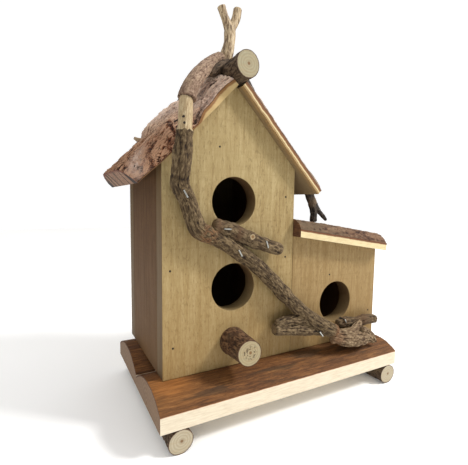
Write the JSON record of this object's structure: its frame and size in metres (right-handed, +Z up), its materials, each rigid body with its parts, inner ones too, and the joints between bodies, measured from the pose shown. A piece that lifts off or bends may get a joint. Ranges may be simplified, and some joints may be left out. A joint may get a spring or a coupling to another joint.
{
  "type": "birdhouse",
  "caption": "Rustic wooden birdhouse with a tall gabled house, a lean-to annex, bark slab roofs, round entrances, a log perch and climbing vine wood.",
  "frame": {"origin": "on the ground, under the middle of the bounding box", "axes": "+X to the right along the front, +Y from front to back, +Z up"},
  "size_m": [0.2512, 0.14, 0.3267],
  "materials": {
    "panel_wood": "planed pale boards with fine upright grain and a clear oil",
    "side_wood": "darker brown board, upright grain, satin",
    "cover_wood": "planed board, satin",
    "base_wood": "half logs with smooth inner bark on top and sawn pale edges",
    "roof_bark": "half-log slabs with flaky reddish bark",
    "log_bark": "round logs in bark with sawn ends",
    "vine_bark": "rough dry vine wood",
    "peeled_twig": "peeled pale wood",
    "steel": "plain bright wire and screws",
    "dark_pins": "dark panel pins"
  },
  "bodies": {
    "house": {"front_panel": "panel_wood", "annex_front_panel": "panel_wood", "rear_panel": "panel_wood", "annex_rear_panel": "panel_wood", "upper_floor": "panel_wood", "left_side_wall": "side_wood", "partition_wall": "side_wood", "annex_side_wall": "side_wood", "base_front_plank": "base_wood", "base_rear_plank": "base_wood", "left_roof_slab": "roof_bark", "right_roof_slab": "roof_bark", "annex_roof_slab": "roof_bark", "ridge_log": "log_bark", "perch_log": "log_bark", "left_foot_log": "log_bark", "right_foot_log": "log_bark", "front_vine": "vine_bark", "short_branch": "vine_bark", "lower_left_stub": "vine_bark", "root_piece": "vine_bark", "lower_right_stub": "vine_bark", "vine_arch": "vine_bark", "right_vine": "vine_bark", "forked_twig": "peeled_twig", "cover_pivot_screws": "steel", "vine_staples": "steel", "roof_nails": "steel", "ridge_nails": "steel", "foot_nails": "steel", "base_nails": "steel", "perch_screw": "steel", "vine_nails": "dark_pins", "panel_brads": "dark_pins", "rear_brads": "dark_pins"},
    "upper_flap": {"upper_cover": "cover_wood"},
    "lower_flap": {"lower_cover": "cover_wood"},
    "annex_flap": {"annex_cover": "cover_wood"}
  },
  "joints": [
    {"name": "upper_cover_pivot", "type": "hinge", "parent": "house", "child": "upper_flap", "pos_m": [-0.0415, 0.0623, 0.189], "axis": [0, 1, 0], "range_deg": [-90, 90]},
    {"name": "lower_cover_pivot", "type": "hinge", "parent": "house", "child": "lower_flap", "pos_m": [-0.0415, 0.0623, 0.097], "axis": [0, 1, 0], "range_deg": [-120, 120]},
    {"name": "annex_cover_pivot", "type": "hinge", "parent": "house", "child": "annex_flap", "pos_m": [0.0685, 0.0623, 0.097], "axis": [0, 1, 0], "range_deg": [-100, 100]}
  ]
}
